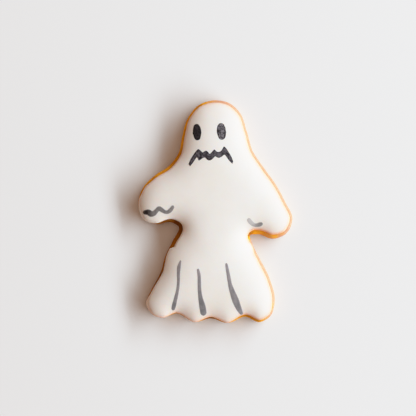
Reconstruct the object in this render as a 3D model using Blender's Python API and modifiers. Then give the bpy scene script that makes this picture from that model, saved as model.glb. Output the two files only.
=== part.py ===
"""Iced sugar cookie cut as a ghost, lying on its back with the icing up. Lengths are in metres.

The biscuit is a puffed slab with a rounded shoulder. White icing covers its top up to a narrow golden
rim. Two eyes, a jagged mouth, two sleeve lines and three folds are drawn on the icing with an edible
pen. Left and right are as the face is seen from above, with the head towards +Y.
"""

import bpy
import numpy as np
from mathutils.bvhtree import BVHTree

MM = 0.001

# The cookie's edge at its widest level, anticlockwise from the top of the head, in millimetres.
OUTLINE_MM = (
    (0.4, 44.9), (-6.4, 43.1), (-11.2, 37.4), (-13.4, 29.8), (-14.7, 23.8),  # head and neck, left
    (-18.8, 18.4), (-25.2, 14.0), (-29.6, 8.8), (-31.0, 2.8), (-28.6, -3.3),  # shoulder, left arm
    (-23.6, -5.0), (-17.4, -4.4), (-14.8, -6.0), (-17.0, -11.4), (-20.2, -17.8),  # left armpit
    (-21.8, -23.8), (-25.8, -31.4), (-27.8, -36.6), (-25.2, -41.3), (-21.2, -42.6),  # left corner
    (-15.6, -40.9), (-8.2, -44.4), (-1.8, -42.9), (5.0, -44.8), (12.2, -42.3),  # scalloped hem
    (17.8, -44.4), (22.4, -41.8), (24.1, -35.6), (22.2, -27.2), (18.2, -19.0),  # right corner
    (14.8, -12.2), (14.1, -9.5), (16.8, -9.1), (23.2, -10.9), (28.6, -8.8),  # right armpit
    (31.2, -2.6), (28.4, 3.8), (24.4, 11.2), (19.6, 17.9), (15.2, 24.6),  # right arm and shoulder
    (12.9, 32.2), (10.0, 39.9), (5.8, 43.7),  # head, right
)

# A spine from the head to the hem, on which the top and the bottom close: place on the left edge,
# counted in points of the outline, and x and y of where it and its opposite on the right meet the spine.
SPINE_MM = (
    (0, -0.3, 34.0), (5, -0.8, 18.0), (8, -1.0, 11.0), (11, -1.0, 5.0), (12, -1.0, -2.0),
    (18, -2.2, -23.0), (21.5, -4.4, -35.0),
)

# Width of the bare rim outside the icing, in millimetres, at places counted in points of the outline.
RIM_MM = (
    (0, 1.2), (2, 0.95), (3, 1.1), (4, 1.35), (5, 1.4), (6, 1.2), (6.3, 1.1), (6.6, 0.9), (7.2, 0.8),
    (7.8, 0.4), (8.4, 0.15), (9.6, 0.15), (10, 0.5), (10.6, 1.2), (11, 1.6), (12, 1.7), (13.3, 1.6),
    (13.5, 0.35), (14.2, 0.8), (15, 0.9), (15.6, 0.65), (16.3, 0.5), (17, 0.15), (19, 0.1), (20, 0.45),
    (20.6, 0.15), (21, 0.15), (21.4, 0.45), (22, 0.9), (22.7, 0.5), (23, 0.2), (23.3, 0.6), (24, 1.25),
    (25, 1.1), (26, 1.0), (27, 1.3), (29.4, 1.2), (29.8, 0.4), (30.2, 1.0), (31, 1.0), (31.6, 1.9),
    (33, 1.85), (34, 1.4), (38, 1.2), (41, 1.1), (43, 1.2),
)

# Biscuit: its edge bulges out to the waist and its top is puffed by baking.
FOOT_ROUND = 0.8 * MM
FOOT_LEAN = 0.2 * MM
WAIST_HEIGHT = 2.1 * MM
SHOULDER_RISE = 1.6 * MM
SHOULDER_RUN = 1.4 * MM
BISCUIT_PUFF = 1.6 * MM

# Icing: its edge rolls down to the biscuit, and it is thickest in the middle.
ICING_GAP = 0.3 * MM
ICING_EDGE = 0.25 * MM
ICING_SWELL = 1.5 * MM
ICING_ROLL = 0.6 * MM
PUFF_REACH = 5.8 * MM  # how far from the edge the puff and the swell reach

# Pen marks: thin films just clear of the icing.
FILM_GAP = 0.12 * MM
FILM_THICKNESS = 0.2 * MM

# Each eye: middle, half width, half height in millimetres, and how far its top leans left in degrees.
EYES_MM = {
    "eye_left": ((-7.25, 31.8), 1.7, 3.45, 4.0),
    "eye_right": ((2.5, 32.0), 1.85, 3.4, 4.0),
}
EYE_STATIONS = 9

# The mouth's upper and lower edge, from left to right, in millimetres.
MOUTH_MM = (
    ((-10.62, 19.09), (-9.98, 18.11)), ((-9.89, 20.90), (-9.11, 19.20)), ((-8.98, 22.30), (-8.22, 20.40)),
    ((-8.06, 23.71), (-7.44, 21.69)), ((-7.22, 24.72), (-6.98, 21.48)), ((-6.60, 25.12), (-6.60, 20.28)),
    ((-5.90, 24.52), (-6.00, 20.58)), ((-5.00, 23.52), (-5.00, 21.38)), ((-4.32, 24.12), (-4.08, 21.68)),
    ((-3.50, 24.42), (-3.40, 20.88)), ((-2.80, 23.82), (-2.70, 20.38)), ((-2.25, 22.92), (-1.75, 20.48)),
    ((-1.33, 23.82), (-0.97, 21.08)), ((-0.33, 25.02), (0.03, 22.18)), ((0.60, 23.92), (0.60, 21.68)),
    ((1.39, 23.82), (1.51, 21.38)), ((2.38, 24.22), (2.62, 21.88)), ((2.95, 25.22), (3.45, 22.68)),
    ((3.48, 26.22), (3.82, 22.68)), ((4.50, 25.22), (4.50, 21.88)), ((5.42, 23.72), (5.18, 20.78)),
    ((6.53, 21.92), (6.17, 19.68)), ((7.16, 20.11), (6.84, 19.09)),
)

# Pen strokes: points (x, y, width) along each one, in millimetres.
STROKES_MM = {
    "sleeve_line_left": (
        (-28.8, -0.3, 1.85), (-27.8, -0.2, 1.95), (-26.7, -0.2, 2.45), (-25.5, -0.8, 2.45),
        (-24.5, -0.6, 2.15), (-23.5, 0.3, 1.85), (-22.3, 1.3, 2.05), (-21.2, 0.7, 1.85),
        (-20.1, 0.0, 1.55), (-19.0, -0.1, 1.55), (-17.9, 0.6, 1.65), (-17.1, 1.6, 1.55),
        (-16.6, 2.5, 1.35),
    ),
    "sleeve_line_right": (
        (13.2, -2.5, 1.4), (13.7, -3.6, 1.8), (14.5, -4.5, 1.7), (15.6, -5.2, 1.5),
        (16.7, -5.3, 1.6), (17.8, -5.0, 1.7), (18.9, -4.5, 1.4),
    ),
    "fold_left": (
        (-13.7, -19.3, 0.6), (-14.4, -22.0, 1.5), (-14.6, -24.4, 1.3), (-14.6, -27.6, 1.2),
        (-14.9, -30.8, 1.2), (-15.6, -34.0, 1.4), (-16.3, -36.8, 1.7), (-16.9, -39.3, 1.4),
    ),
    "fold_middle": (
        (-6.9, -22.6, 0.9), (-6.4, -25.2, 1.3), (-6.3, -28.0, 1.4), (-6.2, -31.2, 1.5),
        (-5.8, -34.4, 1.9), (-5.1, -37.6, 2.6), (-4.5, -41.4, 2.5),
    ),
    "fold_right": (
        (4.4, -20.4, 0.9), (4.9, -23.2, 1.4), (5.4, -26.0, 1.5), (5.9, -28.8, 1.7),
        (6.9, -32.0, 2.3), (8.1, -35.2, 2.7), (9.4, -38.4, 2.3), (10.8, -41.1, 1.2),
    ),
}

# How finely the shapes are divided.
SPAN_STEPS = 4
FINE_STEPS = 40
FOOT_ANGLES = (0, 45, 90)
SHOULDER_ANGLES = (0, 20, 40, 60, 90)
ROLL_ANGLES = (25, 50, 70, 90)
FLAT_INSET = 3.2 * MM  # where the icing's rings stop following the outline
INWARD_SHARES = (0.2, 0.4, 0.6, 0.8)
STROKE_STEPS = 2
FILM_COLUMNS = 2

# Colour, roughness.
BISCUIT_LOOK = ((0.62, 0.33, 0.11), 0.8)
ICING_LOOK = ((0.88, 0.86, 0.83), 0.5)
FACE_INK_LOOK = ((0.03, 0.028, 0.032), 0.6)
LINE_INK_LOOK = ((0.26, 0.24, 0.25), 0.6)


def smooth_through(points, steps, closed):
    """Points on a smooth curve through the given ones: each span is a cubic whose slope at each end
    follows the two neighbouring points, weighted by how near they are."""
    count = len(points)
    if closed:
        before = np.roll(points, 1, axis=0)
        after = np.roll(points, -1, axis=0)
    else:
        before = np.vstack([2 * points[0] - points[1], points[:-1]])
        after = np.vstack([points[1:], 2 * points[-1] - points[-2]])
    back = np.linalg.norm((points - before)[:, :2], axis=1)[:, None]
    forth = np.linalg.norm((after - points)[:, :2], axis=1)[:, None]
    slope = (forth * (points - before) / back + back * (after - points) / forth) / (back + forth)
    spans = count if closed else count - 1
    start = points[:spans, None]
    end = np.roll(points, -1, axis=0)[:spans, None]
    length = forth[:spans, None]
    rise = slope[:spans, None] * length
    fall = np.roll(slope, -1, axis=0)[:spans, None] * length
    t = (np.arange(steps) / steps)[None, :, None]
    curve = (
        start * (2 * t**3 - 3 * t**2 + 1)
        + rise * (t**3 - 2 * t**2 + t)
        + end * (3 * t**2 - 2 * t**3)
        + fall * (t**3 - t**2)
    ).reshape(-1, points.shape[1])
    return curve if closed else np.vstack([curve, points[-1:]])


def centred_outline():
    """The outline's own points, moved so that the middle of the curve's box is the origin."""
    points = np.array(OUTLINE_MM) * MM
    curve = smooth_through(points, FINE_STEPS, closed=True)
    shift = (curve.max(axis=0) + curve.min(axis=0)) / 2
    return points - shift, shift


OUTLINE, SHIFT = centred_outline()
FINE_OUTLINE = smooth_through(OUTLINE, FINE_STEPS, closed=True)


def rim_width(steps):
    """The rim's width at each point of the outline when every span has that many steps."""
    places = np.arange(len(OUTLINE) * steps) / steps
    known, widths = zip(*RIM_MM)
    return np.interp(places, known, widths) * MM


def inward_normals(curve):
    """The horizontal direction that points into the cookie at each point of the closed curve."""
    along = np.roll(curve, -1, axis=0) - np.roll(curve, 1, axis=0)
    along /= np.linalg.norm(along, axis=1)[:, None]
    return np.stack([-along[:, 1], along[:, 0]], axis=1)


def depth_inside(points):
    """How deep each point lies in the cookie: sqrt(2 / the sum of length / distance cubed along the
    edge). It is the distance beside a straight edge, and is rounded off along the middle."""
    ends = np.roll(FINE_OUTLINE, -1, axis=0)
    lengths = np.linalg.norm(ends - FINE_OUTLINE, axis=1)
    apart = np.linalg.norm(points[:, None] - (ends + FINE_OUTLINE)[None] / 2, axis=2)
    return np.sqrt(2 / (lengths / apart**3).sum(axis=1))


def quarter_round(share):
    """A quarter of a circle: 0 at 0, level at 1 and after."""
    return np.sqrt(1 - (1 - np.clip(share, 0, 1)) ** 2)


def risen(depth):
    """From 0 at the edge to nearly 1 in the middle."""
    return 1 - np.exp(-depth / PUFF_REACH)


def biscuit_height(inset, depth):
    """Height of the biscuit's top: a rounded shoulder and the puff."""
    shoulder = SHOULDER_RISE * quarter_round(inset / SHOULDER_RUN)
    return WAIST_HEIGHT + shoulder + BISCUIT_PUFF * risen(depth)


def icing_height(inset, rim, depth):
    """Height of the icing's top: its body thickness on the biscuit, rolled down to 0 at the rim."""
    roll = quarter_round((inset - rim) / ICING_ROLL)
    body = ICING_EDGE + ICING_SWELL * risen(depth)
    return biscuit_height(inset, depth) + ICING_GAP + roll * body


def heights_on(surface, points):
    """Height of an object's top at flat points, straight down from above."""
    mesh = surface.data
    tree = BVHTree.FromPolygons([v.co for v in mesh.vertices], [list(f.vertices) for f in mesh.polygons])
    return np.array([tree.ray_cast((x, y, 1), (0, 0, -1))[0].z for x, y in points])


def with_height(flat, height):
    return np.column_stack([flat, np.broadcast_to(height, len(flat))])


def material(name, look):
    made = bpy.data.materials.new(name)
    made.use_nodes = True
    shader = made.node_tree.nodes["Principled BSDF"]
    colour, roughness = look
    shader.inputs["Base Color"].default_value = (*colour, 1)
    shader.inputs["Roughness"].default_value = roughness
    shader.inputs["Metallic"].default_value = 0
    made.diffuse_color = (*colour, 1)
    return made


def add_object(name, points, faces, look):
    mesh = bpy.data.meshes.new(name)
    mesh.from_pydata(points.tolist(), [], faces)
    mesh.shade_smooth()
    mesh.materials.append(material(name, look))
    made = bpy.data.objects.new(name, mesh)
    COOKIE.objects.link(made)
    return made


def lofted(name, rings, low, high, look):
    """A closed solid from rings of equal count: out along its underside from the spine points low, up
    its side, and in along its top to the spine points high."""
    count = len(rings[0])
    around = np.arange(count)
    onward = np.roll(around, -1)
    on_spine = np.minimum(around, count - around)
    low_start = count * len(rings)
    high_start = low_start + len(low)
    loops = [low_start + on_spine]
    loops += [ring * count + around for ring in range(len(rings))]
    loops += [high_start + on_spine]
    faces = []
    for inner, outer in zip(loops[:-1], loops[1:]):
        corners = np.stack([inner, inner[onward], outer[onward], outer], axis=1).tolist()
        faces += [list(dict.fromkeys(face)) for face in corners]
    return add_object(name, np.vstack([*rings, low, high]), faces, look)


def spine_points():
    """The spine's points from the head to the hem: one for each pair of opposite edge points."""
    place = np.arange(len(OUTLINE) * SPAN_STEPS // 2 + 1) / SPAN_STEPS
    known, x, y = zip(*SPINE_MM)
    return np.column_stack([np.interp(place, known, x), np.interp(place, known, y)]) * MM - SHIFT


def inward_rings(ring):
    """The flat rings on the way from this one to the spine."""
    around = np.arange(len(ring))
    target = spine_points()[np.minimum(around, len(ring) - around)]
    return [ring + share * (target - ring) for share in INWARD_SHARES]


def make_biscuit():
    edge = smooth_through(OUTLINE, SPAN_STEPS, closed=True)
    inward = inward_normals(edge)
    rings = []
    for angle in np.radians(FOOT_ANGLES):
        inset = FOOT_LEAN + FOOT_ROUND * (1 - np.sin(angle))
        rings.append(with_height(edge + inset * inward, FOOT_ROUND * (1 - np.cos(angle))))
    for angle in np.radians(SHOULDER_ANGLES):
        inset = SHOULDER_RUN * (1 - np.cos(angle))
        flat = edge + inset * inward
        height = biscuit_height(inset, depth_inside(flat)) if angle else WAIST_HEIGHT
        rings.append(with_height(flat, height))
    for flat in inward_rings(flat):
        rings.append(with_height(flat, biscuit_height(SHOULDER_RUN, depth_inside(flat))))
    spine = spine_points()
    top = biscuit_height(SHOULDER_RUN, depth_inside(spine))
    return lofted("biscuit", rings, with_height(spine, 0), with_height(spine, top), BISCUIT_LOOK)


def make_icing():
    outline = smooth_through(OUTLINE, SPAN_STEPS, closed=True)
    inward = inward_normals(outline)
    rim = rim_width(SPAN_STEPS)
    rolled = [ICING_ROLL * (1 - np.cos(angle)) for angle in np.radians(ROLL_ANGLES)]
    insets = [rim + step for step in rolled] + [np.full(len(rim), FLAT_INSET)]
    flats = [outline + inset[:, None] * inward for inset in insets]
    insets += [insets[-1] for _ in INWARD_SHARES]
    flats += inward_rings(flats[-1])
    under, over = [], []
    for flat, inset in zip(flats, insets):
        depth = depth_inside(flat)
        under.append(with_height(flat, biscuit_height(inset, depth) + ICING_GAP))
        over.append(with_height(flat, icing_height(inset, rim, depth)))
    flat = outline + rim[:, None] * inward
    edge = with_height(flat, biscuit_height(rim, depth_inside(flat)) + ICING_GAP)
    spine = spine_points()
    depth = depth_inside(spine)
    low = with_height(spine, biscuit_height(FLAT_INSET, depth) + ICING_GAP)
    high = with_height(spine, icing_height(FLAT_INSET, 0, depth))
    return lofted("icing", under[::-1] + [edge] + over, low, high, ICING_LOOK)


def add_film(name, icing, left, right, look):
    """A thin film on the icing between two side curves with equal counts, right to left as they run."""
    shares = np.linspace(0, 1, FILM_COLUMNS + 1)[None, :, None]
    flat = (left[:, None] * (1 - shares) + right[:, None] * shares).reshape(-1, 2)
    points = with_height(flat, heights_on(icing, flat) + FILM_GAP)
    width = FILM_COLUMNS + 1
    corner = np.arange(len(points)).reshape(-1, width)[:-1, :-1].reshape(-1, 1)
    faces = (corner + np.array([0, width, width + 1, 1])).tolist()
    film = add_object(name, points, faces, look)
    wall = film.modifiers.new("thickness", "SOLIDIFY")
    wall.thickness = FILM_THICKNESS
    wall.offset = 1
    return film


def make_eye(name, icing, middle, half_width, half_height, lean):
    """An upright oval, drawn as rows across its long axis."""
    turn = np.radians(lean)
    up = np.array([-np.sin(turn), np.cos(turn)])
    across = np.array([np.cos(turn), np.sin(turn)])
    angles = np.linspace(np.pi / 2 * 0.94, -np.pi / 2 * 0.94, EYE_STATIONS)[:, None]
    spine = np.array(middle) + half_height * np.sin(angles) * up
    half = half_width * np.cos(angles) * across
    left, right = (spine - half) * MM - SHIFT, (spine + half) * MM - SHIFT
    return add_film(name, icing, left, right, FACE_INK_LOOK)


def make_mouth(icing):
    edges = np.array(MOUTH_MM) * MM - SHIFT
    return add_film("mouth", icing, edges[:, 1], edges[:, 0], FACE_INK_LOOK)


def make_stroke(name, icing, points):
    path = smooth_through(np.array(points) * MM, STROKE_STEPS, closed=False)
    along = np.gradient(path[:, :2], axis=0)
    along /= np.linalg.norm(along, axis=1)[:, None]
    half = np.stack([-along[:, 1], along[:, 0]], axis=1) * path[:, 2:] / 2
    spine = path[:, :2] - SHIFT
    return add_film(name, icing, spine - half, spine + half, LINE_INK_LOOK)


for old in list(bpy.data.objects):
    bpy.data.objects.remove(old)
COOKIE = bpy.data.collections.new("ghost_cookie")
bpy.context.scene.collection.children.link(COOKIE)

make_biscuit()
icing_top = make_icing()
for eye_name, eye in EYES_MM.items():
    make_eye(eye_name, icing_top, *eye)
make_mouth(icing_top)
for stroke_name, stroke in STROKES_MM.items():
    make_stroke(stroke_name, icing_top, stroke)
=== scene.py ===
"""Iced sugar cookie cut as a ghost, lying on its back with the icing up. Lengths are in metres.

Left and right are as the face is seen from above, with the head towards +Y.
"""

import itertools

import bpy
import numpy as np
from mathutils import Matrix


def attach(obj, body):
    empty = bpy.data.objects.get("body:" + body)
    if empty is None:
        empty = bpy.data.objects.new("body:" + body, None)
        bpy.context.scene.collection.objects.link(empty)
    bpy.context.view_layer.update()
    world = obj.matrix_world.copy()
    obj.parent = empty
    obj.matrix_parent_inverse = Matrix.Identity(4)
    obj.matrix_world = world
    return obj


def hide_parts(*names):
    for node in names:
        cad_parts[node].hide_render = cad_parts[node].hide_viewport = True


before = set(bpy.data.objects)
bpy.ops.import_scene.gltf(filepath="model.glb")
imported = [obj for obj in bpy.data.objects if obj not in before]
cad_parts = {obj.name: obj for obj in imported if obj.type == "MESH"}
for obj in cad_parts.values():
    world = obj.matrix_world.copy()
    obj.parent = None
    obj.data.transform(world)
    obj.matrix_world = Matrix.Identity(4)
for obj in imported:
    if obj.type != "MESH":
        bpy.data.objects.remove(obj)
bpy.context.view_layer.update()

# Biscuit: rolled sugar dough, cut with a ghost cutter and baked until its edge turned golden. Its foot
# sat on the tray, its side puffed and rounded, and its top rose a little in the middle.

MM = 0.001

# The edge at its widest level, anticlockwise from the top of the head, in millimetres.
OUTLINE_MM = (
    (0.4, 44.9), (-6.4, 43.1), (-11.2, 37.4), (-13.4, 29.8), (-14.7, 23.8),  # head and neck, left
    (-18.8, 18.4), (-25.2, 14.0), (-29.6, 8.8), (-31.0, 2.8), (-28.6, -3.3),  # shoulder, left arm
    (-23.6, -5.0), (-17.4, -4.4), (-14.8, -6.0), (-17.0, -11.4), (-20.2, -17.8),  # left armpit
    (-21.8, -23.8), (-25.8, -31.4), (-27.8, -36.6), (-25.2, -41.3), (-21.2, -42.6),  # left corner
    (-15.6, -40.9), (-8.2, -44.4), (-1.8, -42.9), (5.0, -44.8), (12.2, -42.3),  # scalloped hem
    (17.8, -44.4), (22.4, -41.8), (24.1, -35.6), (22.2, -27.2), (18.2, -19.0),  # right corner
    (14.8, -12.2), (14.1, -9.5), (16.8, -9.1), (23.2, -10.9), (28.6, -8.8),  # right armpit
    (31.2, -2.6), (28.4, 3.8), (24.4, 11.2), (19.6, 17.9), (15.2, 24.6),  # right arm and shoulder
    (12.9, 32.2), (10.0, 39.9), (5.8, 43.7),  # head, right
)
CENTRING_MM = (0.0925, 0.0502)  # from the middle of the outline's box to the point (0, 0) above

# A spine from the head to the hem, on which the top and the underside close: place on the left edge,
# counted in points of the outline, and x and y of where it and its opposite on the right meet the spine.
SPINE_MM = (
    (0, -0.3, 34.0), (5, -0.8, 18.0), (8, -1.0, 11.0), (11, -1.0, 5.0), (12, -1.0, -2.0),
    (18, -2.2, -23.0), (21.5, -4.4, -35.0),
)

FOOT_ROUND = 0.8 * MM
FOOT_LEAN = 0.2 * MM  # how far the side leans in from the waist to the foot
WAIST_HEIGHT = 2.1 * MM  # where the biscuit is widest
SHOULDER_RISE = 1.6 * MM
SHOULDER_RUN = 1.4 * MM
BISCUIT_PUFF = 1.6 * MM  # how much higher the middle rose
PUFF_REACH = 5.8 * MM

# Unevenness of the baked side, as (size of a lump, depth), and the tray's marks underneath.
DOUGH_LUMPS = ((6.0 * MM, 0.10 * MM), (2.2 * MM, 0.07 * MM), (0.8 * MM, 0.05 * MM))
TRAY_MARK = 1.1 * MM
TRAY_MARK_DEPTH = 0.05 * MM
TRAY_CONTACT = 0.04 * MM  # what is lower than this lay on the tray
DOUGH_SEED = 11
LATTICE_POINTS = 32  # to each side of the block of random values, which repeats

# Points to each span of the outline, and rows of points up the side and over the top.
BISCUIT_STEPS = 24
FINE_STEPS = 40  # for measuring how far a point is from the edge
POINTS_AT_ONCE = 4000  # measured together, which spares memory
FOOT_ROWS = 8
SIDE_ROWS = 5
SHOULDER_ROWS = 14
BISCUIT_INNER_ROWS = 10


def smooth_through(points, steps, closed):
    """Points on a smooth curve through the given ones: each span is a cubic whose slope at each end
    follows the two neighbouring points, weighted by how near they are."""
    count = len(points)
    if closed:
        before = np.roll(points, 1, axis=0)
        after = np.roll(points, -1, axis=0)
    else:
        before = np.vstack([2 * points[0] - points[1], points[:-1]])
        after = np.vstack([points[1:], 2 * points[-1] - points[-2]])
    back = np.linalg.norm((points - before)[:, :2], axis=1)[:, None]
    forth = np.linalg.norm((after - points)[:, :2], axis=1)[:, None]
    slope = (forth * (points - before) / back + back * (after - points) / forth) / (back + forth)
    spans = count if closed else count - 1
    start = points[:spans, None]
    end = np.roll(points, -1, axis=0)[:spans, None]
    length = forth[:spans, None]
    rise = slope[:spans, None] * length
    fall = np.roll(slope, -1, axis=0)[:spans, None] * length
    t = (np.arange(steps) / steps)[None, :, None]
    curve = (
        start * (2 * t**3 - 3 * t**2 + 1)
        + rise * (t**3 - 2 * t**2 + t)
        + end * (3 * t**2 - 2 * t**3)
        + fall * (t**3 - t**2)
    ).reshape(-1, points.shape[1])
    return curve if closed else np.vstack([curve, points[-1:]])


def placed(points_mm):
    """Points in millimetres from the photo's outline, as metres from the middle of the cookie."""
    return (np.array(points_mm) - CENTRING_MM) * MM


def edge_curve(steps):
    """The smooth closed curve of the edge, with that many points to each span of the outline."""
    return smooth_through(placed(OUTLINE_MM), steps, closed=True)


def inward_normals(curve):
    """The horizontal direction that points into the cookie at each point of the closed curve: the line
    from the point before to the point after, turned a quarter turn to the left."""
    along = np.roll(curve, -1, axis=0) - np.roll(curve, 1, axis=0)
    along /= np.linalg.norm(along, axis=1)[:, None]
    return np.stack([-along[:, 1], along[:, 0]], axis=1)


def edge_facts(points):
    """(inset, place, depth) of flat points. inset is the distance to the edge. place says where on the
    edge that is, counted in points of the outline. depth is sqrt(2 / the sum of length / distance cubed
    along the edge): it is the inset beside a straight edge, and is rounded off along the middle."""
    fine = edge_curve(FINE_STEPS)
    ends = np.roll(fine, -1, axis=0)
    lengths = np.linalg.norm(ends - fine, axis=1)
    middles = (ends + fine) / 2
    facts = []
    for some in np.array_split(points, len(points) // POINTS_AT_ONCE + 1):
        apart = np.linalg.norm(some[:, None] - middles[None], axis=2)
        nearest = apart.argmin(axis=1)
        depth = np.sqrt(2 / (lengths / apart**3).sum(axis=1))
        # the distance to the nearest short stretch of edge, square to it
        along = (ends - fine)[nearest] / lengths[nearest][:, None]
        offset = some - middles[nearest]
        inset = np.abs(along[:, 0] * offset[:, 1] - along[:, 1] * offset[:, 0])
        place = (nearest + 0.5) / FINE_STEPS
        facts.append(np.stack([inset, place, depth]))
    return np.concatenate(facts, axis=1)


def quarter_round(share):
    """A quarter of a circle: 0 at 0, level at 1 and after."""
    return np.sqrt(1 - (1 - np.clip(share, 0, 1)) ** 2)


def risen(depth):
    """From 0 at the edge to nearly 1 in the middle: 1 - exp(-depth / PUFF_REACH)."""
    return 1 - np.exp(-depth / PUFF_REACH)


def biscuit_height(inset, depth):
    """Height of the biscuit's top: WAIST_HEIGHT + SHOULDER_RISE x a quarter round of
    inset / SHOULDER_RUN + BISCUIT_PUFF x risen(depth)."""
    shoulder = SHOULDER_RISE * quarter_round(inset / SHOULDER_RUN)
    return WAIST_HEIGHT + shoulder + BISCUIT_PUFF * risen(depth)


def spine_of(steps):
    """The spine point that each point of an edge curve is drawn to: SPINE_MM, evenly between the places
    that it lists, and the same for a point and its opposite on the right."""
    count = len(OUTLINE_MM) * steps
    around = np.arange(count)
    place = np.minimum(around, count - around) / steps
    known, x, y = zip(*SPINE_MM)
    return placed(np.column_stack([np.interp(place, known, x), np.interp(place, known, y)]))


def lattice_noise(points, cell, seed):
    """Smooth random field from -1 to 1: each corner of a cubic lattice has a random value, and a point
    takes the smoothly weighted mean of its cell's eight corners."""
    values = np.random.default_rng(seed).uniform(-1, 1, (LATTICE_POINTS,) * 3)
    place = points / cell
    base = np.floor(place).astype(int)
    share = place - base
    share = share * share * (3 - 2 * share)
    total = np.zeros(len(points))
    for corner in itertools.product((0, 1), repeat=3):
        weight = np.where(corner, share, 1 - share).prod(axis=1)
        i, j, k = ((base + corner) % LATTICE_POINTS).T
        total += weight * values[i, j, k]
    return total


def with_height(flat, height):
    """Flat points with a height as their third number: one for all, or one for each."""
    return np.column_stack([flat, np.broadcast_to(height, len(flat))])


def spine_loops(rows):
    """Vertex numbers of each loop of a lofted solid: its first and last loop lie on the spine, where each
    left point and its opposite on the right are one vertex."""
    count = rows.shape[1]
    around = np.arange(count)
    on_spine = np.minimum(around, count - around)
    middle = (np.arange(1, len(rows) - 1)[:, None] - 1) * count + around
    low_start = (len(rows) - 2) * count
    high_start = low_start + count // 2 + 1
    return np.vstack([low_start + on_spine, middle, high_start + on_spine])


def add_piece(name, points, faces, material, slot, nodes, **attributes):
    """A smooth piece from its points and faces. It rides on the cookie and stands for its CAD nodes."""
    mesh = bpy.data.meshes.new(name)
    mesh.from_pydata(points, [], faces)
    mesh.shade_smooth()
    mesh.materials.append(material)
    for key, values in attributes.items():
        mesh.attributes.new(key, "FLOAT", "POINT").data.foreach_set("value", values.astype(np.float32))
    piece = bpy.data.objects.new(name, mesh)
    bpy.context.scene.collection.objects.link(piece)
    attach(piece, "root")
    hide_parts(*nodes)


def lofted(name, rows, material, slot, node, **attributes):
    """A closed solid from rows of points, from the spine of its underside, out and up its side, and in
    along its top to the spine again."""
    loops = spine_loops(rows)
    corners = [loops[:-1], np.roll(loops[:-1], -1, axis=1), np.roll(loops[1:], -1, axis=1), loops[1:]]
    quads = np.stack(corners, axis=2).reshape(-1, 4)
    # each four-cornered face as two triangles
    faces = quads[:, (0, 1, 2, 0, 2, 3)].reshape(-1, 3).tolist()
    order = np.zeros(loops.max() + 1, int)
    order[loops.ravel()] = np.arange(loops.size)
    points = rows.reshape(-1, 3)[order]
    kept = {key: values.reshape(-1)[order] for key, values in attributes.items()}
    add_piece(name, points, faces, material, slot, [node], **kept)


# Keeps a direction that has no length from being divided by nothing.
NO_LENGTH = 1e-12


def surface_normals(rows):
    """The outward direction at each point of rows that run round the cookie, from below to above: the
    cross product of the way round and the way up, at length 1."""
    along = np.roll(rows, -1, axis=1) - np.roll(rows, 1, axis=1)
    up = np.gradient(rows, axis=0)
    normals = np.cross(along, up)
    return normals / np.maximum(np.linalg.norm(normals, axis=2, keepdims=True), NO_LENGTH)


def biscuit_rows():
    """Rows of the biscuit: its flat underside, the foot and the shoulder as quarter rounds, the side
    between them, which leans in as a parabola, and the puffed top. Then every point is pushed in, square
    to the surface, by depth x (1 - noise) / 2 for each size of lump. The underside is pushed up instead,
    by TRAY_MARK_DEPTH x noise where that is above 0."""
    edge = edge_curve(BISCUIT_STEPS)
    inward = inward_normals(edge)
    spine = spine_of(BISCUIT_STEPS)
    foot = edge + (FOOT_LEAN + FOOT_ROUND) * inward
    shares = np.linspace(1, 0, BISCUIT_INNER_ROWS + 1)[:-1]
    rows = [with_height(foot + share * (spine - foot), 0) for share in shares]
    for angle in np.linspace(0, np.pi / 2, FOOT_ROWS):
        inset = FOOT_LEAN + FOOT_ROUND * (1 - np.sin(angle))
        rows.append(with_height(edge + inset * inward, FOOT_ROUND * (1 - np.cos(angle))))
    for share in np.linspace(0, 1, SIDE_ROWS)[1:]:
        inset = FOOT_LEAN * (1 - share) ** 2
        height = FOOT_ROUND + share * (WAIST_HEIGHT - FOOT_ROUND)
        rows.append(with_height(edge + inset * inward, height))
    for angle in np.linspace(0, np.pi / 2, SHOULDER_ROWS)[1:]:
        inset = SHOULDER_RUN * (1 - np.cos(angle))
        flat = edge + inset * inward
        rows.append(with_height(flat, biscuit_height(inset, edge_facts(flat)[2])))
    for share in np.linspace(0, 1, BISCUIT_INNER_ROWS + 1)[1:]:
        inner = flat + share * (spine - flat)
        rows.append(with_height(inner, biscuit_height(SHOULDER_RUN, edge_facts(inner)[2])))
    rows = np.array(rows)
    points = rows.reshape(-1, 3)
    lumps = sum(
        depth * (lattice_noise(points, size, DOUGH_SEED + i) - 1) / 2
        for i, (size, depth) in enumerate(DOUGH_LUMPS)
    ).reshape(rows.shape[:2])
    underneath = rows[:, :, 2] < TRAY_CONTACT
    pits = TRAY_MARK_DEPTH * np.maximum(lattice_noise(points, TRAY_MARK, DOUGH_SEED), 0)
    pushed = rows + surface_normals(rows) * lumps[:, :, None]
    pushed[underneath] = rows[underneath]
    pushed[:, :, 2] += np.where(underneath, pits.reshape(rows.shape[:2]), 0)
    pushed[:, :, 2] = np.maximum(pushed[:, :, 2], 0)
    return pushed


def add_node(tree, kind, inputs=None, **settings):
    """A node of that kind in the tree. Each input takes a value, or the socket that feeds it."""
    made = tree.nodes.new(kind)
    for key, value in settings.items():
        setattr(made, key, value)
    for key, value in (inputs or {}).items():
        if isinstance(value, bpy.types.NodeSocket):
            tree.links.new(value, made.inputs[key])
        else:
            made.inputs[key].default_value = value
    return made


def new_material(name, **shader_values):
    """(material, its node tree, its shader) with those values set on the shader's own sockets."""
    made = bpy.data.materials.new(name)
    made.use_nodes = True
    shader = made.node_tree.nodes["Principled BSDF"]
    for key, value in shader_values.items():
        shader.inputs[key.replace("_", " ")].default_value = value
    return made, made.node_tree, shader


def object_place(tree):
    """Where a point is on the cookie, in metres."""
    return add_node(tree, "ShaderNodeTexCoord").outputs["Object"]


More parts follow.
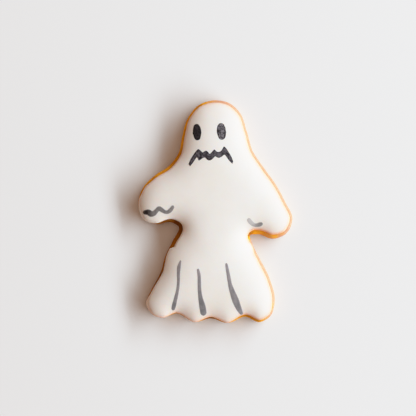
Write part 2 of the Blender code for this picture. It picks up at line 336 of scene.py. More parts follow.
def speckle(tree, place, per_metre, detail=3.0, rough=0.55):
    """Soft random spots, so many to the metre: from 0 to 1, and mostly within USUAL_NOISE."""
    inputs = {"Vector": place, "Scale": per_metre, "Detail": detail, "Roughness": rough}
    return add_node(tree, "ShaderNodeTexNoise", inputs).outputs["Fac"]


def ranged(tree, value, low, high, to_low=0.0, to_high=1.0):
    """The value stretched so that low gives to_low and high gives to_high, and held there beyond."""
    inputs = {"Value": value, "From Min": low, "From Max": high, "To Min": to_low, "To Max": to_high}
    return add_node(tree, "ShaderNodeMapRange", inputs).outputs["Result"]


def with_alpha(colour):
    """A colour as its socket takes it: three values with 1 after them, or the socket that gives it."""
    return colour if isinstance(colour, bpy.types.NodeSocket) else (*colour, 1)


# Where a Mix node that is set to colours has its sockets.
MIX_SHARE = 0
MIX_FIRST = 6
MIX_SECOND = 7
MIX_RESULT = 2


def blended(tree, share, first, second, how="MIX"):
    """The first colour with the second laid on it by that share."""
    inputs = {MIX_SHARE: share, MIX_FIRST: with_alpha(first), MIX_SECOND: with_alpha(second)}
    made = add_node(tree, "ShaderNodeMix", inputs, data_type="RGBA", blend_type=how)
    return made.outputs[MIX_RESULT]


def maths(tree, operation, first, second):
    """The sum, difference or product of two values."""
    return add_node(tree, "ShaderNodeMath", {0: first, 1: second}, operation=operation).outputs[0]


def bumped(tree, shader, height, depth, strength=1.0):
    """Fine relief in the shading: a height from 0 to 1 counts as that depth in metres."""
    inputs = {"Height": height, "Distance": depth, "Strength": strength}
    bump = add_node(tree, "ShaderNodeBump", inputs)
    tree.links.new(bump.outputs["Normal"], shader.inputs["Normal"])


# How brown the edge baked, with painted shade added, from pale at 0 or less to dark at DARK_LEVEL or more,
# at places counted in points of the outline. The painted shade makes it darker along the shaded left
# side and in the armpits' corners.
EDGE_BROWNING_AND_SHADE = (
    (0, 0.35), (1, 0.75), (2, 0.6), (3, 0.85), (4, 1.1), (5, 1.0), (6, 0.8), (7, 1.0), (8, 1.2),
    (9.5, 1.1), (10.5, 2.1), (11, 1.7), (11.4, 2.2), (12, 2.3), (12.6, 1.9), (13.3, 1.7), (15, 1.8),
    (17, 1.4), (19, 0.7), (20, 1.2), (21, 0.7), (22, 1.8), (22.6, 1.2), (23.3, 0.7), (24, 1.3),
    (25, 1.15), (26, -0.2), (27, 0.1), (28, -0.3), (30.2, -0.2), (31, 1.5), (31.6, 0.6), (32.3, 0.45),
    (33.3, 0.5), (34, -0.1), (35, -0.3), (41, -0.3), (42, -0.2), (43, 0.35),
)
# Colours of the edge by level. The darkest is reached where the edge baked dark and where it is set dark as
# painted shade.
BAKED_PALE = (0.60, 0.32, 0.215)
BAKED_GOLD = (0.90, 0.42, 0.025)
BAKED_BROWN = (0.44, 0.17, 0.014)
DARK_BAKE_AND_SHADE = (0.20, 0.07, 0.010)
SIDE_TAN = (0.60, 0.37, 0.17)
SIDE_BROWN = (0.38, 0.175, 0.055)
CRUMB_SHADOW = (0.16, 0.055, 0.012)
GOLD_LEVEL = 0.6
BROWN_LEVEL = 1.3
DARK_LEVEL = 2.0

# Heights between which the foot gives way to the side, the side to the shoulder, and its paler lower
# part to the rest.
FOOT_TO_SIDE = (0.1 * MM, 1.2 * MM)
SIDE_TO_SHOULDER = (1.6 * MM, 2.5 * MM)
LOW_TO_HIGH_SHOULDER = (1.8 * MM, 3.4 * MM)
LOW_SHOULDER_PALER = 0.3
FOOT_BROWN = 0.7
SIDE_LEAST_BROWN = 0.1
# The side follows the edge's levels, so below a dark stretch it carries that stretch's painted shade too.
SIDE_FOLLOWS_EDGE = 0.6  # how brown the side is below the darkest edge
SIDE_SHARE = 0.9  # how much of the side's own colour shows there
SHOULDER_PORES = 0.2  # how many of the side's pores the shoulder has

# Patches, crumbs, pores and groups of pores: how many to the metre, and between which values of the
# speckle, or distances from a pore's middle, each comes up or ends.
PATCHES = 170.0
PATCH_NOISE = (0.35, 0.68)
PATCH_LEVEL = 0.3  # how far a patch changes the browning, either way
CRUMBS = 1500.0
CRUMB_NOISE = (0.62, 0.42)
CRUMB_TINT = 0.3  # how much a crumb deepens the colour
PORES = 900.0
PORE_WIDTH = (0.12, 0.3)
PORE_GROUPS = 420.0
PORE_GROUP_NOISE = (0.5, 0.6)
USUAL_NOISE = (0.3, 0.7)
CRUST_RELIEF = 0.12 * MM
CRUST_ROUGHNESS = (0.88, 0.7)


def browned_rows(rows):
    """How brown each point baked, with painted shade added: EDGE_BROWNING_AND_SHADE at its place on the
    edge, the same from foot to middle.
    """
    known, levels = zip(*EDGE_BROWNING_AND_SHADE)
    around = np.interp(np.arange(rows.shape[1]) / BISCUIT_STEPS, known, levels)
    return np.broadcast_to(around, rows.shape[:2])


def baked_crust():
    """Golden crust on the shoulder and plainer tan on the side, browned more at the foot and along some
    stretches of the edge, where painted shade is also laid, in soft patches, with crumb and pores."""
    made, tree, shader = new_material(
        "baked_crust", Subsurface_Weight=0.12, Subsurface_Scale=1.0,
        Subsurface_Radius=(1.2 * MM, 0.6 * MM, 0.2 * MM), Specular_IOR_Level=0.02,
    )
    place = object_place(tree)
    height = add_node(tree, "ShaderNodeSeparateXYZ", {"Vector": place}).outputs["Z"]
    browned = add_node(tree, "ShaderNodeAttribute", attribute_name="browned").outputs["Fac"]
    shoulder = ranged(tree, height, *LOW_TO_HIGH_SHOULDER, -LOW_SHOULDER_PALER, 0.0)
    patch = ranged(tree, speckle(tree, place, PATCHES), *PATCH_NOISE, -PATCH_LEVEL, PATCH_LEVEL)
    # The edge's levels add baked browning and painted shade together.
    toast_and_shade = maths(tree, "ADD", maths(tree, "ADD", shoulder, patch), browned)
    colour = blended(tree, ranged(tree, toast_and_shade, 0.0, GOLD_LEVEL), BAKED_PALE, BAKED_GOLD)
    colour = blended(tree, ranged(tree, toast_and_shade, GOLD_LEVEL, BROWN_LEVEL), colour, BAKED_BROWN)
    colour = blended(tree, ranged(tree, toast_and_shade, BROWN_LEVEL, DARK_LEVEL), colour, DARK_BAKE_AND_SHADE)
    foot = ranged(tree, height, *FOOT_TO_SIDE, FOOT_BROWN, SIDE_LEAST_BROWN)
    # The side darkens below a dark stretch of edge, with its browning and its painted shade alike.
    below_edge = ranged(tree, browned, 0.0, DARK_LEVEL, 0.0, SIDE_FOLLOWS_EDGE)
    side = maths(tree, "ADD", maths(tree, "ADD", foot, patch), below_edge)
    side_colour = blended(tree, ranged(tree, side, 0.0, 1.0), SIDE_TAN, SIDE_BROWN)
    colour = blended(tree, ranged(tree, height, *SIDE_TO_SHOULDER, SIDE_SHARE, 0.0), colour, side_colour)
    crumb = speckle(tree, place, CRUMBS, detail=6.0, rough=0.7)
    crumb_tint = ranged(tree, crumb, *CRUMB_NOISE, 0.0, CRUMB_TINT)
    colour = blended(tree, crumb_tint, colour, BAKED_GOLD, "MULTIPLY")
    pores = add_node(tree, "ShaderNodeTexVoronoi", {"Vector": place, "Scale": PORES}).outputs["Distance"]
    pore = ranged(tree, pores, *PORE_WIDTH, 1.0, 0.0)
    gathered = ranged(tree, speckle(tree, place, PORE_GROUPS), *PORE_GROUP_NOISE)
    pore = maths(tree, "MULTIPLY", pore, gathered)
    pore = maths(tree, "MULTIPLY", pore, ranged(tree, height, *SIDE_TO_SHOULDER, 1.0, SHOULDER_PORES))
    colour = blended(tree, pore, colour, CRUMB_SHADOW)
    tree.links.new(colour, shader.inputs["Base Color"])
    relief = maths(tree, "SUBTRACT", crumb, pore)
    bumped(tree, shader, relief, CRUST_RELIEF)
    tree.links.new(ranged(tree, crumb, *USUAL_NOISE, *CRUST_ROUGHNESS), shader.inputs["Roughness"])
    return made


biscuit = biscuit_rows()
lofted("biscuit_baked", biscuit, baked_crust(), "biscuit", "biscuit", browned=browned_rows(biscuit))

# Icing: royal icing, flooded over the biscuit up to a narrow bare rim and left to set. Its edge rolled
# down and dried where it stopped, and it is thickest in the middle.

# Width of the bare rim, in millimetres, at places counted in points of the outline.
RIM_MM = (
    (0, 1.2), (2, 0.95), (3, 1.1), (4, 1.35), (5, 1.4), (6, 1.2), (6.3, 1.1), (6.6, 0.9), (7.2, 0.8),
    (7.8, 0.4), (8.4, 0.15), (9.6, 0.15), (10, 0.5), (10.6, 1.2), (11, 1.6), (12, 1.7), (13.3, 1.6),
    (13.5, 0.35), (14.2, 0.8), (15, 0.9), (15.6, 0.65), (16.3, 0.5), (17, 0.15), (19, 0.1), (20, 0.45),
    (20.6, 0.15), (21, 0.15), (21.4, 0.45), (22, 0.9), (22.7, 0.5), (23, 0.2), (23.3, 0.6), (24, 1.25),
    (25, 1.1), (26, 1.0), (27, 1.3), (29.4, 1.2), (29.8, 0.4), (30.2, 1.0), (31, 1.0), (31.6, 1.9),
    (33, 1.85), (34, 1.4), (38, 1.2), (41, 1.1), (43, 1.2),
)
LEAST_RIM = 0.04 * MM
RIM_WANDER = 0.07 * MM
WANDER_LENGTH = 0.09  # of a wander along the rim, on a circle of radius 1 that stands for it
ICING_RAISE = 0.3 * MM  # how far the set icing stands off the smooth biscuit, as in the solid
ICING_SINK = 0.12 * MM  # how far its underside keys into the crumb
ICING_EDGE = 0.25 * MM  # how much higher than that it stands just inside its rolled edge
ICING_SWELL = 1.5 * MM  # how much thicker it is in the middle
ICING_ROLL = 0.6 * MM  # how far in its edge is rolled
SHELF = 0.4 * MM  # past the roll, where the rows stop following the edge
SHELF_SPREAD = 1.2  # how far along the edge, in points of the outline, the shelf evens the rim out

# How far in the biscuit's colour glows through the icing, how strongly where the edge is thick, and how
# much more where it ran thin, which also carries painted glow and shade. Such an edge also has a narrow
# stretch of that colour.
GLOW_REACH = 2.2 * MM
GLOW_LEAST = 0.1
GLOW_MORE = 0.35
THIN_REACH = 0.7 * MM

# How thin the icing's edge ran, from 0 to 1, at places counted in points of the outline. The values also
# paint light and shade. They are highest along the lit right, where the biscuit's tint paints the window's
# light glowing through the edge. They are high along the hem, where it paints shade, and least along the
# left.
THIN_EDGE_GLOW_AND_SHADE = (
    (0, 0.4), (3, 0.25), (7, 0.25), (8, 0.05), (16, 0.05), (18, 0.6), (24, 0.7), (26, 0.8), (41, 0.8),
    (43, 0.4),
)
ICING_RIPPLE = 0.035 * MM
RIPPLE_SIZE = 8.0 * MM
ICING_SEED = 23

ICING_STEPS = 16
ROLL_ROWS = 14
SHELF_ROWS = 4
ICING_INNER_ROWS = 56
UNDER_ROWS = 6


def rim_width(place):
    """The bare rim's width at places on the edge: RIM_MM, evenly between the places that it lists, plus
    RIM_WANDER x noise, as a hand runs it, and never under LEAST_RIM."""
    known, widths = zip(*RIM_MM)
    turn = 2 * np.pi * place / len(OUTLINE_MM)
    circle = np.stack([np.cos(turn), np.sin(turn), np.zeros(len(turn))], axis=1)
    wander = lattice_noise(circle, WANDER_LENGTH, ICING_SEED)
    width = np.interp(place, known, widths) * MM + RIM_WANDER * wander
    return np.maximum(width, LEAST_RIM)


def shelf_inset(rim):
    """How far in the rows stop following the edge: the widest rim within SHELF_SPREAD, evened out with
    the weights 1 + cos(pi x distance / reach), plus ICING_ROLL and SHELF."""
    reach = round(SHELF_SPREAD * ICING_STEPS)
    near = np.arange(-reach, reach + 1)
    widest = np.max([np.roll(rim, shift) for shift in near], axis=0)
    weights = 1 + np.cos(np.pi * near / (reach + 1))
    evened = sum(weight * np.roll(widest, shift) for weight, shift in zip(weights, near)) / weights.sum()
    return np.maximum(evened, rim) + ICING_ROLL + SHELF


def icing_top(flat):
    """Height of the icing's top at flat points, how far they are from its edge, and how thin that edge
    ran, which also sets its painted glow and shade. The height is the biscuit's - ICING_SINK, plus a
    quarter round of distance / ICING_ROLL x (ICING_SINK + ICING_RAISE + ICING_EDGE + ICING_SWELL x
    risen(depth) + a slow ripple)."""
    inset, place, depth = edge_facts(flat)
    from_edge = inset - rim_width(place)
    roll = quarter_round(from_edge / ICING_ROLL)
    body = ICING_EDGE + ICING_SWELL * risen(depth)
    ripple = ICING_RIPPLE * (lattice_noise(with_height(flat, 0), RIPPLE_SIZE, ICING_SEED) - 1)
    rise = ICING_SINK + ICING_RAISE + body + ripple
    height = biscuit_height(inset, depth) - ICING_SINK + roll * rise
    known, shares = zip(*THIN_EDGE_GLOW_AND_SHADE)
    return height, np.maximum(from_edge, 0), np.interp(place, known, shares)


def icing_rows():
    """Rows of the icing: its underside, the rolled edge and the dome. With them goes how much of the
    biscuit's colour shows through, which the thinness table also uses to paint glow on the lit right and
    shade along the hem: a wide faint part, (GLOW_LEAST + GLOW_MORE thinness) x exp(-distance / GLOW_REACH),
    and a narrow one, thinness x exp(-(distance / THIN_REACH)^2)."""
    edge = edge_curve(ICING_STEPS)
    inward = inward_normals(edge)
    spine = spine_of(ICING_STEPS)
    rim = rim_width(np.arange(len(edge)) / ICING_STEPS)
    rolled = ICING_ROLL * (1 - np.cos(np.linspace(0, np.pi / 2, ROLL_ROWS)))
    shelf = np.linspace(0, 1, SHELF_ROWS + 1)[1:, None]
    flat_inset = shelf_inset(rim)
    insets = np.vstack([rim + rolled[:, None], (rim + ICING_ROLL) * (1 - shelf) + flat_inset * shelf])
    outer = edge + insets[:, :, None] * inward
    shares = np.linspace(0, 1, ICING_INNER_ROWS + 1)[1:, None, None]
    over = np.concatenate([outer, outer[-1] + shares * (spine - outer[-1])])
    under = over[np.linspace(len(over) - 1, 1, UNDER_ROWS).astype(int)]
    rows = []
    for flat in under:
        inset, _, depth = edge_facts(flat)
        rows.append(with_height(flat, biscuit_height(inset, depth) - ICING_SINK))
    thin = np.ones((len(over) + UNDER_ROWS, len(edge)))
    for row, flat in enumerate(over, start=UNDER_ROWS):
        height, from_edge, thin_glow_and_shade = icing_top(flat)
        rows.append(with_height(flat, height))
        # The biscuit's tint, with its painted glow and shade, follows how thin the edge ran.
        thin[row] = (GLOW_LEAST + GLOW_MORE * thin_glow_and_shade) * np.exp(-from_edge / GLOW_REACH)
        thin[row] += thin_glow_and_shade * np.exp(-(from_edge / THIN_REACH) ** 2)
    return np.array(rows), thin


ICING_WHITE = (0.83, 0.80, 0.77)
ICING_SHADE = (0.81, 0.775, 0.73)
# The biscuit's colour through a thin edge, also laid as painted glow on the lit right and painted shade
# along the hem.
EDGE_TINT_GLOW_AND_SHADE = (0.80, 0.42, 0.27)

# Clouds, grains and pinholes to the metre, and where each comes up or ends, as in the crust.
CLOUDS = 90.0
CLOUD_NOISE = (0.35, 0.65)
GRAINS = 2600.0
GRAIN_HEIGHT = 0.12  # against a pinhole's depth
PINHOLES = 260.0
PINHOLE_WIDTH = (0.02, 0.05)
ICING_RELIEF = 0.04 * MM
ICING_ROUGHNESS = (0.46, 0.56)


def set_icing():
    """White royal icing, dried almost matt: biscuit glows through its thin edge, laid stronger as painted
    glow on the lit right and as painted shade along the hem, and the top has faint clouds, pinholes and a
    fine grain."""
    made, tree, shader = new_material(
        "set_icing", Subsurface_Weight=0.3, Subsurface_Scale=1.0,
        Subsurface_Radius=(1.4 * MM, 0.9 * MM, 0.6 * MM), Specular_IOR_Level=0.2,
    )
    place = object_place(tree)
    clouds = ranged(tree, speckle(tree, place, CLOUDS), *CLOUD_NOISE)
    colour = blended(tree, clouds, ICING_WHITE, ICING_SHADE)
    thin = add_node(tree, "ShaderNodeAttribute", attribute_name="shows_through").outputs["Fac"]
    # The biscuit's tint on the thin edge, with painted glow on the lit right and painted shade along the
    # hem.
    colour = blended(tree, thin, colour, EDGE_TINT_GLOW_AND_SHADE)
    tree.links.new(colour, shader.inputs["Base Color"])
    grain = speckle(tree, place, GRAINS, detail=2.0)
    holes = add_node(tree, "ShaderNodeTexVoronoi", {"Vector": place, "Scale": PINHOLES}).outputs["Distance"]
    pinhole = ranged(tree, holes, *PINHOLE_WIDTH, 1.0, 0.0)
    relief = maths(tree, "SUBTRACT", maths(tree, "MULTIPLY", grain, GRAIN_HEIGHT), pinhole)
    bumped(tree, shader, relief, ICING_RELIEF)
    tree.links.new(ranged(tree, grain, *USUAL_NOISE, *ICING_ROUGHNESS), shader.inputs["Roughness"])
    return made


icing_points, icing_tint_glow_and_shade = icing_rows()
lofted("icing_set", icing_points, set_icing(), "icing", "icing", shows_through=icing_tint_glow_and_shade)

# Eyes: two upright ovals filled in with an edible pen. The left one is almost black, and the right one
# is patchy where the pen ran dry. Ink soaks in, so each is a film that barely stands off the icing.

EYES = {
    # middle, half width and half height in millimetres, and how far the top leans left in degrees
    "eye_left": ((-7.25, 31.75), 1.7, 3.25, 4.0),
    "eye_right": ((2.5, 32.0), 1.85, 3.3, 4.0),
}
OVAL_FULLNESS = 0.8  # 1 is an ellipse, and less is squarer
OVAL_DRAWN = 0.99  # how much of the way to its tips an oval's sides go
OVAL_WOBBLE = 0.09
WOBBLE_LENGTH = 0.09  # of a wobble, as a share of the stroke
WOBBLE_PLACE = 0.5  # where in the noise the strokes are taken from
INK_STAND = 0.035 * MM
INK_SOAK = 0.06 * MM
INK_COLUMNS = 14
EYE_ROWS = 48
EYE_SEED = 31


def ink_film(name, left, right, material, slot, pressure=None):
    """A closed film of ink between two side curves. Across it, as u goes from -1 to 1, the top stands
    off the icing by INK_STAND x sqrt(1 - u^2), the underside lies INK_SOAK deep in it, and both sides
    lie half as deep. Its two ends close in points."""
    across = np.cos(np.linspace(0, np.pi, INK_COLUMNS))
    top = (1 - across[1:-1]) / 2
    shares = np.concatenate([(1 - across) / 2, top[::-1]])
    arch = np.concatenate([np.sqrt(1 - across**2), np.full(INK_COLUMNS - 2, -1.0)])
    lift = np.where(arch >= 0, INK_STAND * arch, -INK_SOAK)
    lift[[0, INK_COLUMNS - 1]] = -INK_SOAK / 2
    flat = left[:, None] * (1 - shares[None, :, None]) + right[:, None] * shares[None, :, None]
    rows, columns = flat.shape[:2]
    height = icing_top(flat.reshape(-1, 2))[0].reshape(rows, columns) + lift
    points = np.concatenate([flat, height[:, :, None]], axis=2).reshape(-1, 3)
    tips = np.array([points[:columns].mean(axis=0), points[-columns:].mean(axis=0)])
    number = np.arange(rows * columns).reshape(rows, columns)
    onward = np.roll(number, -1, axis=1)
    quads = np.stack([number[:-1], number[1:], onward[1:], onward[:-1]], axis=2).reshape(-1, 4)
    first = np.stack([number[0], onward[0], np.full(columns, rows * columns)], axis=1)
    last = np.stack([onward[-1], number[-1], np.full(columns, rows * columns + 1)], axis=1)
    faces = quads.tolist() + first.tolist() + last.tolist()
    strength = np.ones(rows) if pressure is None else pressure
    strength = np.append(np.repeat(strength, columns), [strength[0], strength[-1]])
    middle = np.append(np.tile(1 - np.abs(2 * shares - 1), rows), [0, 0])
    add_piece(
        name, np.vstack([points, tips]), faces, material, slot, [name.removesuffix("_ink")],
        pressure=strength, middle=middle,
    )


# Where the pen ran dry: the speckle's values from inked to dry, and between which shares of the way from
# the mark's edge to its middle the patches grow to their full strength. The edge fades within FADE_WIDTH.
DRY_NOISE = (0.38, 0.62)
DRY_WITHIN = (0.1, 0.5)
DRY_AT_EDGE = 0.25
FADE_WIDTH = 0.35
INK_RELIEF = 0.008 * MM
INK_ROUGHNESS = (0.5, 0.65)


def pen_ink_group():
    """Group: pen ink, from thin at 0 to full at 1, by the pressure less the dry patches, which are weaker
    near the edge, and less the Edge Fade along the edge."""
    tree = bpy.data.node_groups.new("pen_ink", "ShaderNodeTree")
    sockets = (
        ("Full Ink", "NodeSocketColor"), ("Thin Ink", "NodeSocketColor"), ("Patches", "NodeSocketFloat"),
        ("Patch Scale", "NodeSocketFloat"), ("Edge Fade", "NodeSocketFloat"),
        ("Pressure", "NodeSocketFloat"), ("Middle", "NodeSocketFloat"),
    )
    for name, kind in sockets:
        tree.interface.new_socket(name, in_out="INPUT", socket_type=kind)
    tree.interface.new_socket("Color", in_out="OUTPUT", socket_type="NodeSocketColor")
    tree.interface.new_socket("Patch", in_out="OUTPUT", socket_type="NodeSocketFloat")
    given = tree.nodes.new("NodeGroupInput").outputs
    out = tree.nodes.new("NodeGroupOutput").inputs
    noise = speckle(tree, object_place(tree), given["Patch Scale"], detail=4.0, rough=0.6)
    patch = ranged(tree, noise, *DRY_NOISE)
    inner = ranged(tree, given["Middle"], *DRY_WITHIN, DRY_AT_EDGE, 1.0)
    dry = maths(tree, "MULTIPLY", maths(tree, "MULTIPLY", patch, given["Patches"]), inner)
    outer = ranged(tree, given["Middle"], 0.0, FADE_WIDTH, 1.0, 0.0)
    edge = maths(tree, "MULTIPLY", outer, given["Edge Fade"])
    wet = maths(tree, "SUBTRACT", given["Pressure"], maths(tree, "ADD", dry, edge))
    colour = blended(tree, ranged(tree, wet, 0.0, 1.0), given["Thin Ink"], given["Full Ink"])
    tree.links.new(colour, out["Color"])
    tree.links.new(patch, out["Patch"])
    return tree


PEN_INK = pen_ink_group()


def ink_material(name, full, thin, patches, patch_scale, edge_fade):
    """Edible ink of that full and thin colour, soaked into the icing and dried matt."""
    made, tree, shader = new_material(name, Specular_IOR_Level=0.25)
    pressure = add_node(tree, "ShaderNodeAttribute", attribute_name="pressure").outputs["Fac"]
    middle = add_node(tree, "ShaderNodeAttribute", attribute_name="middle").outputs["Fac"]
    inputs = {
        "Full Ink": with_alpha(full), "Thin Ink": with_alpha(thin), "Patches": patches,
        "Patch Scale": patch_scale, "Edge Fade": edge_fade, "Pressure": pressure, "Middle": middle,
    }
    ink = add_node(tree, "ShaderNodeGroup", inputs, node_tree=PEN_INK)
    tree.links.new(ink.outputs["Color"], shader.inputs["Base Color"])
    tree.links.new(ranged(tree, ink.outputs["Patch"], 0.0, 1.0, *INK_ROUGHNESS), shader.inputs["Roughness"])
    bumped(tree, shader, ink.outputs["Patch"], INK_RELIEF, strength=0.6)
    return made


def wobbled(shares, seed, amount):
    """1 + amount x noise at shares of the way along a stroke, as a hand wobbles."""
    line = np.stack([shares, np.full(len(shares), WOBBLE_PLACE), np.zeros(len(shares))], axis=1)
    return 1 + amount * lattice_noise(line, WOBBLE_LENGTH, seed)


def oval_sides(middle, half_width, half_height, lean, seed):
    """The left and right side of a slightly square oval, from its top to its bottom: at the angle a
    above the middle, half height x sin(a) up and half width x cos(a)^OVAL_FULLNESS to each side."""
    turn = np.radians(lean)
    up = np.array([-np.sin(turn), np.cos(turn)])
    across = np.array([np.cos(turn), np.sin(turn)])
    angles = np.linspace(np.pi / 2 * OVAL_DRAWN, -np.pi / 2 * OVAL_DRAWN, EYE_ROWS)
    spine = np.array(middle) + half_height * np.sin(angles)[:, None] * up
    half = half_width * np.cos(angles) ** OVAL_FULLNESS
    shares = np.linspace(0, 1, EYE_ROWS)
    left = spine - (half * wobbled(shares, seed, OVAL_WOBBLE))[:, None] * across
    right = spine + (half * wobbled(shares, seed + 1, OVAL_WOBBLE))[:, None] * across
    return placed(left), placed(right)


EYE_INKS = {
    "eye_left": ink_material(
        "black_pen_ink", full=(0.004, 0.002, 0.003), thin=(0.060, 0.050, 0.060),
        patches=0.6, patch_scale=1300.0, edge_fade=0.0,
    ),
    "eye_right": ink_material(
        "dry_pen_ink", full=(0.008, 0.006, 0.008), thin=(0.22, 0.20, 0.22),
        patches=1.0, patch_scale=1600.0, edge_fade=0.0,
    ),
}
for seed, (eye, shape) in enumerate(EYES.items(), start=EYE_SEED):
    left_side, right_side = oval_sides(*shape, seed)
    ink_film(eye + "_ink", left_side, right_side, EYE_INKS[eye], "eye_ink")

# Mouth: a jagged line drawn up and down with the same edible pen, from the left corner to the right. It
# is thickest where two strokes meet, and it lies on the icing as the eyes do.

# Its upper and lower edge, from left to right, in millimetres.
MOUTH_MM = (
    ((-10.62, 19.09), (-9.98, 18.11)), ((-9.89, 20.90), (-9.11, 19.20)), ((-8.98, 22.30), (-8.22, 20.40)),
    ((-8.06, 23.71), (-7.44, 21.69)), ((-7.22, 24.72), (-6.98, 21.48)), ((-6.60, 25.12), (-6.60, 20.28)),
    ((-5.90, 24.52), (-6.00, 20.58)), ((-5.00, 23.52), (-5.00, 21.38)), ((-4.32, 24.12), (-4.08, 21.68)),
    ((-3.50, 24.42), (-3.40, 20.88)), ((-2.80, 23.82), (-2.70, 20.38)), ((-2.25, 22.92), (-1.75, 20.48)),
    ((-1.33, 23.82), (-0.97, 21.08)), ((-0.33, 25.02), (0.03, 22.18)), ((0.60, 23.92), (0.60, 21.68)),
    ((1.39, 23.82), (1.51, 21.38)), ((2.38, 24.22), (2.62, 21.88)), ((2.95, 25.22), (3.45, 22.68)),
    ((3.48, 26.22), (3.82, 22.68)), ((4.50, 25.22), (4.50, 21.88)), ((5.42, 23.72), (5.18, 20.78)),
    ((6.53, 21.92), (6.17, 19.68)), ((7.16, 20.11), (6.84, 19.09)),
)
MOUTH_STEPS = 6
CORNER_PASSES = 5


def mouth_sides():
    """The upper and lower edge of the mouth: straight between the points of MOUTH_MM, with the corners
    rounded by CORNER_PASSES of a quarter, a half and a quarter of each point and its neighbours."""
    edges = np.array(MOUTH_MM).transpose(1, 0, 2)
    places = np.linspace(0, len(MOUTH_MM) - 1, (len(MOUTH_MM) - 1) * MOUTH_STEPS + 1)
    sides = []
    for edge in edges:
        fine = np.stack([np.interp(places, range(len(edge)), axis) for axis in edge.T], axis=1)
        for _ in range(CORNER_PASSES):
            fine[1:-1] = (fine[:-2] + 2 * fine[1:-1] + fine[2:]) / 4
        sides.append(placed(fine))
    return sides


mouth_upper, mouth_lower = mouth_sides()
mouth_ink = ink_material(
    "grey_pen_ink", full=(0.008, 0.006, 0.009), thin=(0.15, 0.135, 0.155),
    patches=0.8, patch_scale=1100.0, edge_fade=0.1,
)
ink_film("mouth_ink", mouth_lower, mouth_upper, mouth_ink, "mouth_ink")

# Sleeve lines and folds: single strokes of a nearly spent pen. The left cuff is a wave, the right cuff
# a short tick, and the three folds widen towards the hem.

# Points along each stroke: x, y and width in millimetres, and how hard the pen pressed.
SLEEVE_STROKES = {
    "sleeve_line_left": (
        (-28.8, -0.3, 1.85, 1.0), (-27.8, -0.2, 1.95, 1.0), (-26.7, -0.2, 2.45, 1.0),
        (-25.5, -0.8, 2.45, 0.85), (-24.5, -0.6, 2.15, 0.75), (-23.5, 0.3, 1.85, 0.7),
        (-22.3, 1.3, 2.05, 0.7), (-21.2, 0.7, 1.85, 0.7), (-20.1, 0.0, 1.55, 0.7), (-19.0, -0.1, 1.55, 0.7),
        (-17.9, 0.6, 1.65, 0.65), (-17.1, 1.6, 1.55, 0.6), (-16.6, 2.5, 1.35, 0.55),
    ),
    "sleeve_line_right": (
        (13.2, -2.5, 1.4, 0.0), (13.7, -3.6, 1.8, 0.0), (14.5, -4.5, 1.7, 0.05), (15.6, -5.2, 1.5, 0.25),
        (16.7, -5.3, 1.6, 0.5), (17.8, -5.0, 1.7, 0.6), (18.9, -4.5, 1.4, 0.6),
    ),
}
FOLD_STROKES = {
    "fold_left": (
        (-13.7, -19.3, 0.6, 0.5), (-14.4, -22.0, 1.5, 0.6), (-14.6, -24.4, 1.3, 0.7),
        (-14.6, -27.6, 1.2, 0.7), (-14.9, -30.8, 1.2, 0.7), (-15.6, -34.0, 1.4, 0.8),
        (-16.3, -36.8, 1.7, 0.9), (-16.9, -39.3, 1.4, 0.9),
    ),
    "fold_middle": (
        (-6.9, -22.6, 0.9, 0.6), (-6.4, -25.2, 1.3, 0.65), (-6.3, -28.0, 1.4, 0.7),
        (-6.2, -31.2, 1.5, 0.8), (-5.8, -34.4, 1.9, 0.9), (-5.1, -37.6, 2.6, 0.95),
        (-4.5, -41.4, 2.5, 0.9),
    ),
    "fold_right": (
        (4.4, -20.4, 0.9, 0.55), (4.9, -23.2, 1.4, 0.6), (5.4, -26.0, 1.5, 0.65), (5.9, -28.8, 1.7, 0.7),
        (6.9, -32.0, 2.3, 0.8), (8.1, -35.2, 2.7, 0.8), (9.4, -38.4, 2.3, 0.8), (10.8, -41.1, 1.2, 0.6),
    ),
}
STROKE_STEPS = 12
STROKE_WOBBLE = 0.07
SLEEVE_SEED = 41
FOLD_SEED = 51
TIP_MM = 0.02  # how far from a stroke's very tip its first and last points count


def stroke(name, points, material, slot, seed):
    """One pen stroke along a smooth path: to each side of it half the width x a wobble x a quarter round
    of the distance from the nearer tip / half the width there."""
    path = smooth_through(np.array(points), STROKE_STEPS, closed=False)
    steps = np.linalg.norm(np.diff(path[:, :2], axis=0), axis=1)
    travelled = np.append(0, np.cumsum(steps))
    along = np.gradient(path[:, :2], axis=0)
    along /= np.linalg.norm(along, axis=1)[:, None]
    across = np.stack([-along[:, 1], along[:, 0]], axis=1)
    half = path[:, 2] / 2
    start = quarter_round((travelled + TIP_MM) / half[0])
    end = quarter_round((travelled[-1] - travelled + TIP_MM) / half[-1])
    half = half * np.minimum(start, end) * wobbled(travelled / travelled[-1], seed, STROKE_WOBBLE)
    right = placed(path[:, :2] - half[:, None] * across)
    left = placed(path[:, :2] + half[:, None] * across)
    ink_film(name + "_ink", right, left, material, slot, pressure=path[:, 3])


sleeve_ink = ink_material(
    "worn_pen_ink", full=(0.020, 0.014, 0.015), thin=(0.50, 0.47, 0.46),
    patches=0.15, patch_scale=700.0, edge_fade=0.55,
)
fold_ink = ink_material(
    "pale_pen_ink", full=(0.145, 0.145, 0.152), thin=(0.42, 0.37, 0.38),
    patches=0.25, patch_scale=600.0, edge_fade=0.5,
)
for seed, (mark, points) in enumerate(SLEEVE_STROKES.items(), start=SLEEVE_SEED):
    stroke(mark, points, sleeve_ink, "sleeve_ink", seed)
for seed, (mark, points) in enumerate(FOLD_STROKES.items(), start=FOLD_SEED):
    stroke(mark, points, fold_ink, "fold_ink", seed)

# Table: a plain pale board, painted matt and much larger than the view. The cookie lies loose on it,
# and it is no part of the cookie.

TABLE_HALF = 1.5
TABLE_COLOUR = (0.80, 0.80, 0.805)


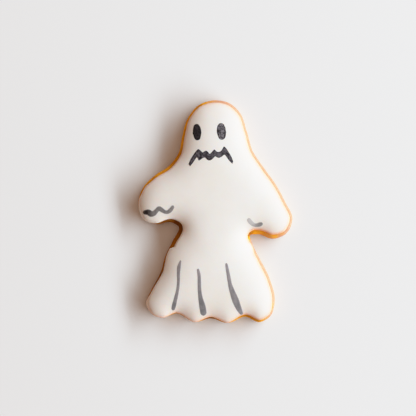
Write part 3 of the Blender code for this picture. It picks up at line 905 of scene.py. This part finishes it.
def pale_table():
    """One square face at height 0, TABLE_HALF to each side."""
    corners = np.array([(-1, -1, 0), (1, -1, 0), (1, 1, 0), (-1, 1, 0)]) * TABLE_HALF
    mesh = bpy.data.meshes.new("table")
    mesh.from_pydata(corners.tolist(), [], [(0, 1, 2, 3)])
    colour = with_alpha(TABLE_COLOUR)
    board, _, _ = new_material("pale_board", Base_Color=colour, Roughness=0.9, Specular_IOR_Level=0.1)
    mesh.materials.append(board)
    table = bpy.data.objects.new("table", mesh)
    bpy.context.scene.collection.objects.link(table)


pale_table()

# Light: one long low window on the right, slightly cool, which throws the shadows to the left, and the
# warm dim light of the room all round.

ROOM_COLOUR = (1.0, 0.66, 0.467)
ROOM_STRENGTH = 0.375
WINDOW_COLOUR = (0.78, 0.92, 1.0)
WINDOW_AZIMUTH = 8.0  # degrees from +X towards +Y
WINDOW_HEIGHT = 22.0  # degrees above the table
WINDOW_DISTANCE = 2.2
WINDOW_WIDE = 6.0
WINDOW_TALL = 0.5
WINDOW_POWER = 212.0


def soft_light():
    """The room's even light, and the window, which faces the cookie."""
    world = bpy.data.worlds.new("dim_room")
    world.use_nodes = True
    room = world.node_tree.nodes["Background"]
    room.inputs["Color"].default_value = with_alpha(ROOM_COLOUR)
    room.inputs["Strength"].default_value = ROOM_STRENGTH
    bpy.context.scene.world = world
    light = bpy.data.lights.new("window", "AREA")
    light.shape = "RECTANGLE"
    light.size = WINDOW_TALL
    light.size_y = WINDOW_WIDE
    light.energy = WINDOW_POWER
    light.color = WINDOW_COLOUR
    window = bpy.data.objects.new("window", light)
    turn, rise = np.radians(WINDOW_AZIMUTH), np.radians(WINDOW_HEIGHT)
    away = (np.cos(rise) * np.cos(turn), np.cos(rise) * np.sin(turn), np.sin(rise))
    window.location = [WINDOW_DISTANCE * part for part in away]
    window.rotation_euler = (0, np.pi / 2 - rise, turn)
    bpy.context.scene.collection.objects.link(window)


soft_light()

# Camera: straight above and looking down, as far off as a long lens needs for a view 166 mm wide. Its
# film eases bright light towards white.

VIEW_WIDTH = 166.4 * MM
VIEW_LEVEL = 4.0 * MM  # the height that the view has that width at
VIEW_MIDDLE_MM = (-2.86, 1.54)
LENS_MM = 100.0
SENSOR_MM = 36.0
NEAREST_SEEN = 0.01
FARTHEST_SEEN = 10.0

# The camera keeps light as it is up to the knee, and eases brighter light towards white above it.
FILM_KNEE = 0.75
FILM_BASE = (0.25, 0.5, 0.7)  # below the knee, kept as it is
FILM_LIGHT = (0.78, 0.84, 0.92, 1.0, 1.15, 1.35, 1.6, 2.0)
ALL_COLOURS = 3  # the curve that red, green and blue share


def overhead_camera():
    """The camera, and its film: with what is left above the knee as r = 1 - FILM_KNEE, light gives
    FILM_KNEE + r (1 - exp((FILM_KNEE - light) / r))."""
    camera = bpy.data.objects.new("camera", bpy.data.cameras.new("camera"))
    camera.data.lens = LENS_MM
    camera.data.sensor_width = SENSOR_MM
    distance = VIEW_WIDTH * LENS_MM / SENSOR_MM
    camera.location = (*placed([VIEW_MIDDLE_MM])[0], VIEW_LEVEL + distance)
    camera.data.clip_start = NEAREST_SEEN
    camera.data.clip_end = FARTHEST_SEEN
    bpy.context.scene.collection.objects.link(camera)
    bpy.context.scene.camera = camera
    film = bpy.context.scene.view_settings
    film.view_transform = "Standard"
    film.use_curve_mapping = True
    seen = np.array(FILM_LIGHT)
    kept = FILM_KNEE + (1 - FILM_KNEE) * (1 - np.exp((FILM_KNEE - seen) / (1 - FILM_KNEE)))
    film.curve_mapping.clip_max_x = FILM_LIGHT[-1]
    curve = film.curve_mapping.curves[ALL_COLOURS]
    curve.points[0].location = (0.0, 0.0)
    curve.points[1].location = (seen[-1], kept[-1])
    for light, tone in zip((*FILM_BASE, *FILM_LIGHT[:-1]), (*FILM_BASE, *kept[:-1])):
        curve.points.new(light, tone)
    film.curve_mapping.update()


overhead_camera()
